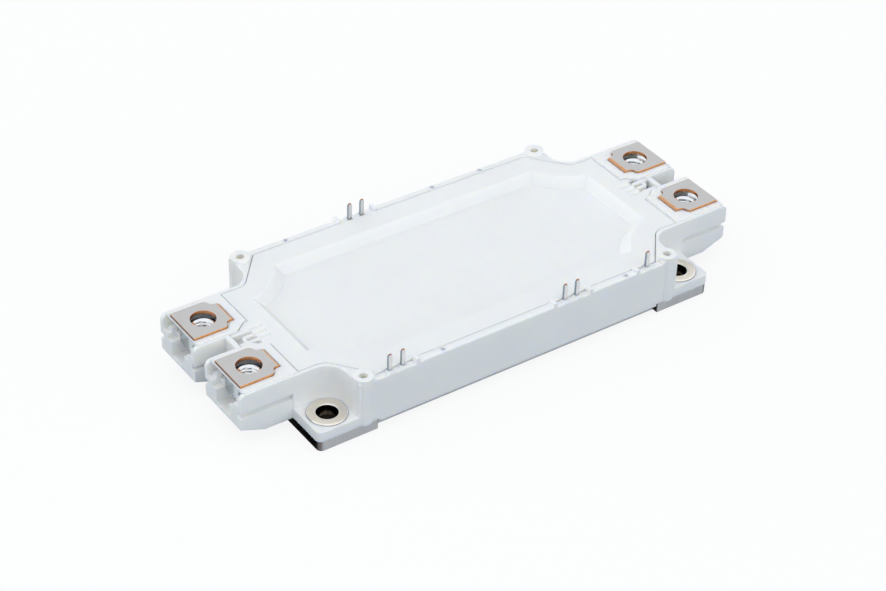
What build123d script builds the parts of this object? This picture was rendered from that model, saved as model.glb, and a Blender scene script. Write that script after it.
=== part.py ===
from build123d import *
import os

# Low flat power diode module with two screw terminals at each end. Millimetres, +Z up.
# The origin is the centre of the baseplate's underside. X runs along the module, Y across it.

os.makedirs("parts", exist_ok=True)

# Baseplate: copper plate whose long sides step back between full-width corner tabs.
plate_length = 122.0
plate_width = 62.0
plate_thickness = 3.0
plate_corner_radius = 1.5
plate_side_setback = 1.7
tab_length = 17.0

# Mounting holes and the metal sleeves round them.
mount_edge_distance = 6.0
mount_bore_radius = 2.75
sleeve_outer_radius = 5.2
sleeve_height = 3.25
sleeve_clearance = 0.05
sleeve_edge_round = 0.5

# Housing frame.
frame_overhang = 0.2
flange_height = 2.9
rim_height = 13.0
rim_edge_round = 0.5
lip_drop = 0.7
lip_end_gap = 0.4
bay_radius = 5.5
side_clearance = 0.15

# Lid: flat plate with a sunk tray, let into the frame. Its corners are cut off at the sleeves.
lid_end_margin = 2.0
lid_side_margin = 2.2
lid_cut_length = 15.6
lid_cut_width = 10.4
lid_shoulder_length = 7.0
lid_corner_round = 4.0
lid_thickness = 1.5
lid_seat_width = 1.2
lid_clearance = 0.2
tray_depth = 2.5
tray_end_margin = 5.9
tray_side_margin = 6.7
tray_cut_length = 12.1
tray_cut_width = 9.6
tray_arc_length = 5.4
tray_arc_width = 7.3
tray_wall_angle = 45.0
tray_skin = 0.6

# Ribbed tongue of the lid between the two terminals of an end, measured from the lid's end.
tongue_length = 6.6
tongue_shoulder_length = 1.2
tongue_neck_length = 4.4
tongue_wide_y = 5.4
tongue_narrow_y = 2.75
tongue_round = 1.0
tongue_thickness = 3.6
rib_count = 3
rib_pitch = 2.15
rib_width = 0.85
groove_width = 1.05
groove_depth = 0.35
groove_inner_length = 2.2
pocket_start_length = 1.3
pocket_end_length = 4.3
pocket_depth = 2.4
pocket_round = 0.45
end_hole_length = 1.6
end_pit_depth = 4.0

# Terminal blocks at the ends of the frame, measured from the baseplate's end.
terminal_reach = 7.5
block_centre_y = 11.0
block_length = 15.0
block_width = 17.0
waist_width = 14.0
lower_width = 16.6
groove_low_height = 5.85
groove_high_height = 7.6
slope_length = 6.85
slope_rise = 2.6
block_top_round = 1.7
bridge_length = 8.2
plateau_rise = 0.45
plateau_lid_distance = 0.6
plateau_end_setback = 1.1
plateau_width = 15.4

# Pocket for the nut, with its stepped opening in the outer end of the block.
nut_sides = 6
nut_across_flats = 10.0
nut_thickness = 5.2
nut_bore_radius = 2.5
nut_face_inset = 0.25
nut_chamfer_height = 0.6
nut_countersink = 0.5
nut_clearance = 0.1
nut_seat_height = 6.5
screw_space_floor = 3.44
screw_space_width = 6.3
middle_step_height = 7.4
middle_step_width = 10.0
upper_step_height = 9.0
upper_step_width = 14.6
upper_step_depth = 3.4
roof_thickness = 0.75
post_height = 1.4
post_width = 1.7
post_depth = 1.6
post_spacing = 11.1

# Copper terminals.
terminal_thickness = 1.0
terminal_width = 12.0
terminal_neck_width = 7.7
terminal_hole_radius = 3.3
terminal_end_setback = 1.5
terminal_full_length = 2.8
terminal_neck_length = 5.4
terminal_leg_length = 5.65
terminal_top_height = 14.0
terminal_clearance = 0.1
strip_height = 5.0
drop_clearance = 0.25
foot_length = 4.2
bend_radius = 0.55

# Signal pins along both long sides, at the half places of a fixed pitch.
pin_pitch = 3.81
pin_width = 1.15
pin_depth = 0.8
pin_edge_distance = 1.4
pin_top_height = 17.7
pin_tip_length = 0.7
pin_tip_angle = 18.0
pin_foot_height = 3.6
pin_foot_length = 4.4
pin_clearance = 0.05
shelf_width = 3.0
pin_boss_distance = 7.0
front_pair = (3.5, 4.5)
back_pair = (-3.5, -2.5)

# Bosses for the circuit board screws, and the relief along the rim at the pins.
boss_mount_distance = 7.76
boss_edge_distance = 1.96
boss_radius = 2.6
boss_height = 13.85
boss_hole_radius = 1.1
boss_hole_depth = 8.0
stop_width = 1.0
stop_height = 0.85
relief_depth = 0.6
pad_size = 2.3
pad_taper = 30.0
relief_overrun = 1.2

# Insulating tiles, chips and wires inside.
tile_count = 4
tile_end_margin = 10.0
tile_side_margin = 9.3
tile_gap = 1.0
ceramic_thickness = 0.6
foil_thickness = 0.3
foil_margin = 0.75
island_gap = 1.5
chip_size = 5.0
chip_thickness = 0.35
chip_pitch = 6.0
chip_row_y = 4.0
chips_per_tile = 3
wire_radius = 0.2
wire_pitch = 1.6
wire_rise = 2.0
wire_landing_y = -4.0
wire_foot_width = 0.5
wire_foot_length = 0.8
wire_foot_height = 0.5
pin_wire_start_length = 3.2
pin_wire_end_margin = 2.3
sensor_length = 3.2
sensor_width = 1.6
sensor_height = 0.9
sensor_x = -11.43
sensor_margin = 3.7
sensor_window_x = 7.2
sensor_window_y = 5.6
sensor_pad_width = 1.6
sensor_pad_length = 4.2
link_width = 6.0
link_thickness = 0.5
link_rise = 1.2
link_landing = 2.0
link_y = 14.0

# Overlap that joins solids of one piece, and the tolerance for picking edges and corners.
joint_overlap = 1.0
pick_tolerance = 0.1

# Sizes that follow from the ones above.
plate_top = plate_thickness
plate_end_x = plate_length / 2
plate_side_y = plate_width / 2
mount_x = plate_end_x - mount_edge_distance
mount_y = plate_side_y - mount_edge_distance
frame_end_x = plate_end_x + frame_overhang
rim_top = plate_top + rim_height
lid_seat = rim_top - lid_thickness
lid_end_x = plate_end_x - lid_end_margin
lid_side_y = plate_side_y - lid_side_margin
lid_end_y = lid_side_y - lid_cut_width
lid_shoulder_x = lid_end_x - lid_shoulder_length
lid_side_end_x = lid_end_x - lid_cut_length
wall_inner_y = lid_side_y - lid_seat_width
cavity_end_x = lid_end_x - lid_seat_width
tray_end_x = lid_end_x - tray_end_margin
tray_side_y = lid_side_y - tray_side_margin
tongue_end_x = lid_end_x + tongue_length
tongue_shoulder_x = lid_end_x + tongue_shoulder_length
tongue_neck_x = lid_end_x + tongue_neck_length
groove_start_x = lid_end_x - groove_inner_length
pocket_start_x = lid_end_x + pocket_start_length
pocket_end_x = lid_end_x + pocket_end_length
end_hole_width = 2 * rib_pitch - rib_width
bridge_end_x = lid_end_x + bridge_length
block_end_x = plate_end_x + block_length
plateau_top = rim_top + plateau_rise
plateau_start_x = lid_end_x + plateau_lid_distance
plateau_end_x = block_end_x - plateau_end_setback
terminal_x = plate_end_x + terminal_reach
terminal_end_x = block_end_x - terminal_end_setback
terminal_full_x = terminal_x - terminal_full_length
terminal_neck_x = terminal_x - terminal_neck_length
terminal_leg_x = terminal_x - terminal_leg_length
terminal_top = plate_top + terminal_top_height
terminal_under = terminal_top - terminal_thickness
nut_seat = plate_top + nut_seat_height
tongue_seat = rim_top - tongue_thickness
foil_top = plate_top + 2 * foil_thickness + ceramic_thickness
pin_top = plate_top + pin_top_height
pin_foot_under = plate_top + pin_foot_height
pin_foot_top = pin_foot_under + pin_depth
pin_row_y = plate_side_y - pin_edge_distance
boss_x = mount_x - boss_mount_distance
boss_y = plate_side_y - boss_edge_distance
outer_pin = (boss_x - pin_boss_distance - pin_pitch / 2) // pin_pitch + 0.5
front_pins = (-outer_pin, 1 - outer_pin, *front_pair, outer_pin)
back_pins = back_pair
front_stops = (2 - outer_pin, front_pair[0] - 1, front_pair[1] + 1, outer_pin - 1)
back_stops = (back_pair[0] - 1, back_pair[1] + 1)
front_reliefs = (
    (-outer_pin - relief_overrun, front_stops[0]),
    front_stops[1:3],
    (front_stops[3], outer_pin + relief_overrun),
)
back_reliefs = (back_stops,)
tile_pitch = 2 * (lid_end_x - tile_end_margin) / tile_count
tile_length = tile_pitch - tile_gap
tile_width = 2 * (lid_side_y - tile_side_margin)
foil_side_y = tile_width / 2 - foil_margin
drop_x = tile_count * tile_pitch / 2 - tile_gap / 2 - foil_margin + drop_clearance
foot_end_x = drop_x - foot_length
sensor_y = tile_width / 2 - sensor_margin
tile_centres = [(index - (tile_count - 1) / 2) * tile_pitch for index in range(tile_count)]
sensor_tile_x = min(tile_centres, key=lambda centre: abs(centre - sensor_x))


def lid_outline(grow):
    # Lid shape seen from above, grown on every side by the given amount.
    corner = (
        (0, lid_side_y), (lid_side_end_x, lid_side_y), (lid_shoulder_x, lid_end_y),
        (lid_end_x, lid_end_y), (lid_end_x, 0), (0, 0),
    )
    with BuildSketch() as outline:
        with BuildLine():
            Polyline(*corner, close=True)
        make_face()
        mirror(about=Plane.XZ)
        mirror(about=Plane.YZ)
        inner = [v for v in outline.vertices() if abs(abs(v.X) - lid_shoulder_x) < pick_tolerance]
        fillet(inner, radius=lid_corner_round)
        offset(amount=grow, kind=Kind.INTERSECTION)
    return outline.sketch


def tray_outline(grow):
    # Tray rim: straight sides joined by arcs that bulge towards the middle.
    side = (tray_end_x - tray_cut_length, tray_side_y)
    middle = (tray_end_x - tray_arc_length, tray_side_y - tray_arc_width)
    end = (tray_end_x, tray_side_y - tray_cut_width)
    with BuildSketch() as outline:
        with BuildLine():
            Line((0, tray_side_y), side)
            ThreePointArc(side, middle, end)
            Line(end, (tray_end_x, 0))
            Line((tray_end_x, 0), (0, 0))
            Line((0, 0), (0, tray_side_y))
        make_face()
        mirror(about=Plane.XZ)
        mirror(about=Plane.YZ)
        offset(amount=grow, kind=Kind.INTERSECTION)
    return outline.sketch


def tongue_outline(grow):
    # Tongue of the lid at the +X end, grown on every side by the given amount.
    root_x = lid_end_x - joint_overlap
    half = (
        (root_x, tongue_wide_y), (tongue_shoulder_x, tongue_wide_y),
        (tongue_neck_x, tongue_narrow_y), (tongue_end_x, tongue_narrow_y),
    )
    mirrored = tuple((x, -y) for x, y in reversed(half))
    with BuildSketch() as outline:
        with BuildLine():
            Polyline(*half, *mirrored, close=True)
        make_face()
        bends = [
            v for v in outline.vertices()
            if root_x + pick_tolerance < v.X < tongue_end_x - pick_tolerance
        ]
        fillet(bends, radius=tongue_round)
        offset(amount=grow, kind=Kind.INTERSECTION)
    return outline.sketch


def pocket_outline():
    # Pockets beside the ribs of the +X tongue. The first is open to the hole at the tongue's end.
    hole_x = tongue_end_x - end_hole_length
    with BuildSketch() as outline:
        for index in range(rib_count):
            stop_x = pocket_end_x if index > 0 else hole_x + 2 * pocket_round
            pocket_y = (index + 1 - rib_count / 2) * rib_pitch
            with Locations(((pocket_start_x + stop_x) / 2, pocket_y)):
                RectangleRounded(stop_x - pocket_start_x, rib_pitch - rib_width, pocket_round)
        with Locations((hole_x + end_hole_length / 2, 0)):
            Rectangle(end_hole_length, end_hole_width)
        corners = [v for v in outline.vertices() if abs(v.X - hole_x) < pick_tolerance]
        fillet(sorted(corners, key=lambda corner: corner.Y)[-2], radius=tongue_round)
    return outline.sketch


def hexagon(grow):
    # Outline of the nut, grown by the given amount, with one flat facing the outer end.
    with BuildSketch() as outline:
        flat = nut_across_flats / 2 + grow
        RegularPolygon(flat, nut_sides, major_radius=False, rotation=180 / nut_sides)
    return outline.sketch


def terminal_outline(grow):
    # Flat top of a copper terminal at the +X end, centred on Y, grown by the given amount.
    reach = (terminal_full_x + terminal_neck_x) / 2
    wide = terminal_width / 2
    neck = terminal_neck_width / 2
    step = (wide + neck) / 2
    with BuildSketch() as outline:
        with BuildLine():
            Line((terminal_leg_x, neck), (terminal_neck_x, neck))
            TangentArc((terminal_neck_x, neck), (reach, step), tangent=(1, 0))
            TangentArc((terminal_full_x, wide), (reach, step), tangent=(-1, 0))
            Polyline((terminal_full_x, wide), (terminal_end_x, wide), (terminal_end_x, 0))
            Line((terminal_end_x, 0), (terminal_leg_x, 0))
            Line((terminal_leg_x, 0), (terminal_leg_x, neck))
        make_face()
        mirror(about=Plane.XZ)
        offset(amount=grow, kind=Kind.INTERSECTION)
    return outline.sketch


# Baseplate
with BuildPart() as baseplate:
    with BuildSketch():
        RectangleRounded(plate_length, plate_width, plate_corner_radius)
        waist = plate_length - 2 * tab_length
        with GridLocations(1, plate_width, 1, 2):
            Rectangle(waist, 2 * plate_side_setback, mode=Mode.SUBTRACT)
        with GridLocations(2 * mount_x, 2 * mount_y, 2, 2):
            Circle(mount_bore_radius, mode=Mode.SUBTRACT)
    extrude(amount=plate_thickness)

# Terminal block at the +X end, centred on Y; the frame takes four of them
with BuildPart() as end_block:
    block_root_x = frame_end_x - joint_overlap
    reach_x = block_end_x - block_root_x
    bodies = (
        (0, groove_low_height, lower_width),
        (groove_low_height, groove_high_height, waist_width),
        (groove_high_height, rim_height, block_width),
    )
    for low, high, width in bodies:
        with BuildSketch(Plane.XY.offset(plate_top + low)):
            with Locations((block_root_x + reach_x / 2, 0)):
                Rectangle(reach_x, width)
        extrude(amount=high - low)
    end_edges = end_block.edges().filter_by(Axis.Y).group_by(Axis.X)[-1]
    fillet(end_edges.sort_by(Axis.Z)[-1], radius=block_top_round)
    # Underside rises towards the outer end.
    with BuildSketch(Plane.XZ):
        with BuildLine():
            Polyline(
                (block_end_x - slope_length, plate_top), (block_end_x, plate_top + slope_rise),
                (block_end_x, plate_top), close=True,
            )
        make_face()
    extrude(amount=block_width, both=True, mode=Mode.SUBTRACT)
    # Hexagonal pocket, open upwards.
    with BuildSketch(Plane.XY.offset(nut_seat)):
        with Locations((terminal_x, 0)):
            add(hexagon(nut_clearance))
    extrude(amount=rim_top, mode=Mode.SUBTRACT)
    # Space for the end of the screw, open to the outer end.
    with BuildSketch(Plane.XY.offset(plate_top + screw_space_floor)):
        with Locations((terminal_x, 0)):
            Circle(screw_space_width / 2)
        open_length = block_end_x - terminal_x
        with Locations((terminal_x + open_length / 2, 0)):
            Rectangle(open_length, screw_space_width)
    extrude(amount=middle_step_height - screw_space_floor, mode=Mode.SUBTRACT)
    # Middle and upper steps of the opening.
    step_start_x = terminal_x + nut_across_flats / 2
    upper_start_x = block_end_x - upper_step_depth
    roof_under = plateau_top - roof_thickness
    steps = (
        (step_start_x, block_end_x, middle_step_width, plate_top + middle_step_height, rim_top),
        (upper_start_x, block_end_x, upper_step_width, plate_top + upper_step_height, roof_under),
        (upper_start_x, block_end_x, terminal_width, plate_top + upper_step_height, rim_top),
        (plateau_end_x, block_end_x, upper_step_width, plate_top + upper_step_height, rim_top),
    )
    for start, stop, width, low, high in steps:
        with BuildSketch(Plane.XY.offset(low)):
            with Locations(((start + stop) / 2, 0)):
                Rectangle(stop - start, width)
        extrude(amount=high - low, mode=Mode.SUBTRACT)
    # Posts on either side of the nut.
    with BuildSketch(Plane.XY.offset(plate_top + upper_step_height)):
        with Locations((plateau_end_x - post_depth / 2, 0)):
            with GridLocations(1, post_spacing, 1, 2):
                Rectangle(post_depth, post_width)
    extrude(amount=post_height)

# Housing frame
with BuildPart() as housing_frame:
    with BuildSketch(Plane.XY.offset(plate_top)):
        RectangleRounded(2 * frame_end_x, plate_width, plate_corner_radius)
    extrude(amount=flange_height)
    # Walls up to the rim, with a bay cut round each mounting sleeve.
    bay_reach_x = frame_end_x - mount_x
    bay_reach_y = plate_side_y - mount_y
    with BuildSketch(Plane.XY.offset(plate_top)):
        Rectangle(2 * frame_end_x, plate_width)
        with GridLocations(2 * mount_x, 2 * mount_y, 2, 2):
            Circle(bay_radius, mode=Mode.SUBTRACT)
        with GridLocations(2 * frame_end_x, plate_width, 2, 2):
            Rectangle(2 * bay_reach_x, 2 * (bay_reach_y + bay_radius), mode=Mode.SUBTRACT)
            Rectangle(2 * (bay_reach_x + bay_radius), 2 * bay_reach_y, mode=Mode.SUBTRACT)
    extrude(amount=rim_height)
    rim_edges = housing_frame.edges().filter_by(Axis.X).group_by(Axis.Z)[-1].group_by(Axis.Y)
    fillet(rim_edges[0] + rim_edges[-1], radius=rim_edge_round)
    # Bosses for the circuit board screws.
    with BuildSketch(Plane.XY.offset(plate_top)):
        with GridLocations(2 * boss_x, 2 * boss_y, 2, 2):
            Circle(boss_radius)
    extrude(amount=boss_height)
    # Lip that covers the baseplate's stepped-back long sides.
    lip_width = plate_side_setback - side_clearance
    lip_length = plate_length - 2 * (tab_length + lip_end_gap)
    with BuildSketch(Plane.XY.offset(plate_top - lip_drop)):
        with GridLocations(1, plate_width - lip_width, 1, 2):
            Rectangle(lip_length, lip_width)
    extrude(amount=lip_drop)
    # Bridges between the terminal blocks, then the blocks.
    bridge_reach = bridge_end_x - cavity_end_x
    bridge_width = 2 * block_centre_y - block_width + joint_overlap
    with BuildSketch(Plane.XY.offset(plate_top)):
        with GridLocations(2 * bridge_end_x - bridge_reach, 1, 2, 1):
            Rectangle(bridge_reach, bridge_width)
    extrude(amount=rim_height)
    with PolarLocations(0, 2):
        with Locations((0, block_centre_y), (0, -block_centre_y)):
            add(end_block.part)
    # Raised plateaus round the copper terminals.
    plateau_length = plateau_end_x - plateau_start_x
    with BuildSketch(Plane.XY.offset(rim_top)):
        with GridLocations(2 * plateau_start_x + plateau_length, 2 * block_centre_y, 2, 2):
            Rectangle(plateau_length, plateau_width)
        with GridLocations(2 * terminal_x, 2 * block_centre_y, 2, 2):
            add(hexagon(nut_clearance), mode=Mode.SUBTRACT)
    extrude(amount=plateau_top - rim_top)
    # Seat for each copper terminal, and the slots its leg runs down.
    slot_width = terminal_neck_width + 2 * terminal_clearance
    bend_relief = bend_radius - terminal_thickness / 2
    leg_slot = terminal_thickness + terminal_clearance + bend_relief
    strip_under = plate_top + strip_height
    with BuildSketch(Plane.XY.offset(terminal_under)):
        with PolarLocations(0, 2):
            with Locations((0, block_centre_y), (0, -block_centre_y)):
                add(terminal_outline(terminal_clearance))
    extrude(amount=plateau_top, mode=Mode.SUBTRACT)
    leg_slot_x = terminal_leg_x + bend_relief - leg_slot / 2
    with BuildSketch(Plane.XY.offset(strip_under)):
        with GridLocations(2 * leg_slot_x, 2 * block_centre_y, 2, 2):
            Rectangle(leg_slot, slot_width)
    extrude(amount=plateau_top, mode=Mode.SUBTRACT)
    leg_centre_x = terminal_leg_x - terminal_thickness / 2
    strip_reach = leg_centre_x - drop_x
    with BuildSketch(Plane.XY.offset(strip_under)):
        with GridLocations(2 * leg_centre_x - strip_reach, 2 * block_centre_y, 2, 2):
            Rectangle(strip_reach, slot_width)
    extrude(amount=terminal_thickness + terminal_clearance, mode=Mode.SUBTRACT)
    # Room inside, open down to the baseplate, and the seat for the lid.
    with BuildSketch(Plane.XY.offset(plate_top)):
        add(lid_outline(-lid_seat_width))
    extrude(amount=lid_seat - plate_top, mode=Mode.SUBTRACT)
    with BuildSketch(Plane.XY.offset(lid_seat)):
        add(lid_outline(lid_clearance))
    extrude(amount=rim_top, mode=Mode.SUBTRACT)
    with BuildSketch(Plane.XY.offset(tongue_seat)):
        with PolarLocations(0, 2):
            add(tongue_outline(lid_clearance))
    extrude(amount=rim_top, mode=Mode.SUBTRACT)
    # Pit in each bridge, under the hole in the tongue.
    with BuildSketch(Plane.XY.offset(tongue_seat - end_pit_depth)):
        with GridLocations(2 * tongue_end_x - end_hole_length, 1, 2, 1):
            Rectangle(end_hole_length, end_hole_width)
    extrude(amount=end_pit_depth, mode=Mode.SUBTRACT)
    # Shelves inside the long walls, under the feet of the signal pins.
    with BuildSketch(Plane.XY.offset(plate_top)):
        with GridLocations(1, 2 * wall_inner_y - shelf_width + joint_overlap, 1, 2):
            Rectangle(2 * lid_side_end_x, shelf_width + joint_overlap)
    extrude(amount=pin_foot_height)
    # Holes for the sleeves, and blind holes in the bosses.
    with BuildSketch(Plane.XY.offset(plate_top)):
        with GridLocations(2 * mount_x, 2 * mount_y, 2, 2):
            Circle(sleeve_outer_radius + sleeve_clearance)
    extrude(amount=rim_height, mode=Mode.SUBTRACT)
    with BuildSketch(Plane.XY.offset(plate_top + boss_height - boss_hole_depth)):
        with GridLocations(2 * boss_x, 2 * boss_y, 2, 2):
            Circle(boss_hole_radius)
    extrude(amount=boss_hole_depth, mode=Mode.SUBTRACT)
    # Relief along the rim at the pins, with a stop at its ends and a small pad round each pin.
    rim_inner_y = lid_side_y + lid_clearance
    rim_width = plate_side_y - rim_inner_y
    rim_centre_y = (plate_side_y + rim_inner_y) / 2
    sides = (
        (-1, front_pins, front_stops, front_reliefs),
        (1, back_pins, back_stops, back_reliefs),
    )
    for side, pins, stops, reliefs in sides:
        with BuildSketch(Plane.XY.offset(rim_top - relief_depth)):
            for start, stop in reliefs:
                with Locations(((start + stop) / 2 * pin_pitch, side * rim_centre_y)):
                    Rectangle((stop - start) * pin_pitch, rim_width)
        extrude(amount=relief_depth, mode=Mode.SUBTRACT)
        with BuildSketch(Plane.XY.offset(rim_top - relief_depth)):
            for stop in stops:
                with Locations((stop * pin_pitch, side * rim_centre_y)):
                    Rectangle(stop_width, rim_width)
        extrude(amount=relief_depth + stop_height)
        with BuildSketch(Plane.XY.offset(rim_top - relief_depth)):
            for index in pins:
                with Locations((index * pin_pitch, side * rim_centre_y)):
                    Rectangle(pad_size, rim_width)
        extrude(amount=relief_depth, taper=pad_taper)
        # Slots that hold the pins: straight down, then inwards over the shelf.
        with BuildSketch(Plane.XY.offset(pin_foot_under)):
            for index in pins:
                with Locations((index * pin_pitch, side * pin_row_y)):
                    Rectangle(pin_width + 2 * pin_clearance, pin_depth + 2 * pin_clearance)
        extrude(amount=rim_height, mode=Mode.SUBTRACT)
        slot_reach = pin_row_y - wall_inner_y + joint_overlap
        with BuildSketch(Plane.XY.offset(pin_foot_under)):
            for index in pins:
                with Locations((index * pin_pitch, side * (pin_row_y - slot_reach / 2))):
                    Rectangle(pin_width + 2 * pin_clearance, slot_reach)
        extrude(amount=pin_depth + pin_clearance, mode=Mode.SUBTRACT)

# Lid
with BuildPart() as lid:
    with BuildSketch(Plane.XY.offset(lid_seat)):
        add(lid_outline(0))
    extrude(amount=lid_thickness)
    with BuildSketch(Plane.XY.offset(tongue_seat)):
        with PolarLocations(0, 2):
            add(tongue_outline(0))
    extrude(amount=tongue_thickness)

    # Tray: a shell hangs under the plate, and its inside is cut from above.
    with BuildSketch(Plane.XY.offset(lid_seat)):
        add(tray_outline(tray_skin))
    extrude(amount=-tray_depth, taper=tray_wall_angle)
    with BuildSketch(Plane.XY.offset(rim_top)):
        add(tray_outline(0))
    extrude(amount=-tray_depth, taper=tray_wall_angle, mode=Mode.SUBTRACT)
    # Shallow grooves in line with the ribs.
    groove_length = pocket_start_x + pocket_round - groove_start_x
    with BuildSketch(Plane.XY.offset(rim_top - groove_depth)):
        with GridLocations(2 * groove_start_x + groove_length, rib_pitch, 2, rib_count):
            Rectangle(groove_length, groove_width)
    extrude(amount=groove_depth, mode=Mode.SUBTRACT)
    # Deep pockets beside the ribs, and the hole through the tongue's end.
    with BuildSketch(Plane.XY.offset(rim_top - pocket_depth)):
        with PolarLocations(0, 2):
            add(pocket_outline())
    extrude(amount=pocket_depth, mode=Mode.SUBTRACT)
    with BuildSketch(Plane.XY.offset(tongue_seat)):
        with GridLocations(2 * tongue_end_x - end_hole_length, 1, 2, 1):
            Rectangle(end_hole_length, end_hole_width)
    extrude(amount=tongue_thickness, mode=Mode.SUBTRACT)

# Mounting sleeve
with BuildPart() as mounting_sleeve:
    with BuildSketch(Plane.XY.offset(plate_top)):
        Circle(sleeve_outer_radius)
        Circle(mount_bore_radius, mode=Mode.SUBTRACT)
    extrude(amount=sleeve_height)
    top_rings = mounting_sleeve.edges().filter_by(GeomType.CIRCLE).group_by(Axis.Z)[-1]
    fillet(top_rings.sort_by(SortBy.RADIUS)[-1], radius=sleeve_edge_round)

# Copper terminal at the +X end, centred on Y
with BuildPart() as power_terminal:
    with BuildSketch(Plane.XY.offset(terminal_under)):
        add(terminal_outline(0))
        with Locations((terminal_x, 0)):
            Circle(terminal_hole_radius, mode=Mode.SUBTRACT)
    extrude(amount=terminal_thickness)
    # Bent strip down to the foot on the tile.
    with BuildSketch(Plane.XZ):
        with BuildLine():
            middle = terminal_thickness / 2
            FilletPolyline(
                (terminal_leg_x + middle, terminal_top - middle),
                (terminal_leg_x - middle, terminal_top - middle),
                (terminal_leg_x - middle, plate_top + strip_height + middle),
                (drop_x - middle, plate_top + strip_height + middle),
                (drop_x - middle, foil_top + middle),
                (foot_end_x, foil_top + middle),
                radius=bend_radius,
            )
        trace(line_width=terminal_thickness)
    extrude(amount=terminal_neck_width / 2, both=True)

# Terminal nut at the +X end, centred on Y
with BuildPart() as terminal_nut:
    with BuildSketch(Plane.XY.offset(nut_seat)):
        with Locations((terminal_x, 0)):
            add(hexagon(0))
    extrude(amount=nut_thickness)
    # Cones that take off the six corners at both faces.
    face_x = terminal_x + nut_across_flats / 2 - nut_face_inset
    corner_x = terminal_x + nut_across_flats / 3 ** 0.5
    nut_top = nut_seat + nut_thickness
    with BuildSketch(Plane.XZ):
        with BuildLine():
            Polyline(
                (terminal_x, nut_seat), (face_x, nut_seat),
                (corner_x, nut_seat + nut_chamfer_height), (corner_x, nut_top - nut_chamfer_height),
                (face_x, nut_top), (terminal_x, nut_top), close=True,
            )
        make_face()
    revolve(axis=Axis((terminal_x, 0, 0), (0, 0, 1)), mode=Mode.INTERSECT)
    # Bore, countersunk at both ends.
    with BuildSketch(Plane.XY.offset(nut_seat)):
        with Locations((terminal_x, 0)):
            Circle(nut_bore_radius)
    extrude(amount=nut_thickness, mode=Mode.SUBTRACT)
    bore_rings = terminal_nut.edges().filter_by(GeomType.CIRCLE).group_by(SortBy.RADIUS)[0]
    chamfer(bore_rings, length=nut_countersink)

# Signal pin of the front row, standing at X = 0
with BuildPart() as signal_pin:
    with BuildSketch(Plane.XY.offset(pin_foot_under)):
        with Locations((0, -pin_row_y)):
            Rectangle(pin_width, pin_depth)
    extrude(amount=pin_top - pin_tip_length - pin_foot_under)
    with BuildSketch(Plane.XY.offset(pin_top - pin_tip_length)):
        with Locations((0, -pin_row_y)):
            Rectangle(pin_width, pin_depth)
    extrude(amount=pin_tip_length, taper=pin_tip_angle)
    with BuildSketch(Plane.XY.offset(pin_foot_under)):
        with Locations((0, -pin_row_y - pin_depth / 2 + pin_foot_length / 2)):
            Rectangle(pin_width, pin_foot_length)
    extrude(amount=pin_depth)


# Upper and lower copper foils, ceramic tile, chips and wires of one tile, centred on the origin
def foil_islands():
    # Two copper islands, one on each side of the gap along X.
    island_length = tile_length - 2 * foil_margin
    island_width = tile_width / 2 - foil_margin - island_gap / 2
    with BuildSketch(Plane.XY.offset(foil_top - foil_thickness)) as islands:
        with GridLocations(1, island_gap + island_width, 1, 2):
            Rectangle(island_length, island_width)
    return islands.sketch


with BuildPart() as lower_foil:
    with BuildSketch(Plane.XY.offset(plate_top)):
        Rectangle(tile_length - 2 * foil_margin, tile_width - 2 * foil_margin)
    extrude(amount=foil_thickness)

with BuildPart() as ceramic_tile:
    with BuildSketch(Plane.XY.offset(plate_top + foil_thickness)):
        Rectangle(tile_length, tile_width)
    extrude(amount=ceramic_thickness)

with BuildPart() as plain_foil:
    add(foil_islands())
    extrude(amount=foil_thickness)

# One tile's foil has a window with two pads for the temperature sensor.
with BuildPart() as sensor_foil:
    add(foil_islands())
    extrude(amount=foil_thickness)
    with BuildSketch(Plane.XY.offset(foil_top - foil_thickness)):
        with Locations((sensor_x - sensor_tile_x, foil_side_y - sensor_window_y / 2)):
            Rectangle(sensor_window_x, sensor_window_y)
    extrude(amount=foil_thickness, mode=Mode.SUBTRACT)
    with BuildSketch(Plane.XY.offset(foil_top - foil_thickness)):
        with Locations((sensor_x - sensor_tile_x, sensor_y)):
            with GridLocations(pin_pitch, 1, 2, 1):
                Rectangle(sensor_pad_width, sensor_pad_length)
    extrude(amount=foil_thickness)

with BuildPart() as diode_chips:
    with BuildSketch(Plane.XY.offset(foil_top)):
        with Locations((0, chip_row_y)):
            with GridLocations(chip_pitch, 1, chips_per_tile, 1):
                Rectangle(chip_size, chip_size)
    extrude(amount=chip_thickness)

with BuildPart() as temperature_sensor:
    with BuildSketch(Plane.XY.offset(foil_top)):
        with Locations((sensor_x, sensor_y)):
            Rectangle(sensor_length, sensor_width)
    extrude(amount=sensor_height)


def arched_wire(start_y, start_z, end_y, end_z):
    # One round wire in the plane X = 0, arched between two flat welded feet.
    middle_y = (start_y + end_y) / 2
    middle_z = max(start_z, end_z) + wire_rise
    lift = wire_foot_height / 2
    with BuildPart() as wire:
        with BuildLine(Plane.YZ) as path:
            ThreePointArc((start_y, start_z + lift), (middle_y, middle_z), (end_y, end_z + lift))
        with BuildSketch(Plane(origin=path.line @ 0, z_dir=path.line % 0)):
            Circle(wire_radius)
        sweep()
        for foot_y, foot_z in ((start_y, start_z), (end_y, end_z)):
            with BuildSketch(Plane.XY.offset(foot_z)):
                with Locations((0, foot_y)):
                    Rectangle(wire_foot_width, wire_foot_length)
            extrude(amount=wire_foot_height)
    return wire.part


chip_wire = arched_wire(chip_row_y, foil_top + chip_thickness, wire_landing_y, foil_top)
pin_wire_start_y = pin_row_y - pin_wire_start_length
pin_wire_end_y = tile_width / 2 - pin_wire_end_margin
pin_wire = arched_wire(-pin_wire_start_y, pin_foot_top, -pin_wire_end_y, foil_top)

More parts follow.
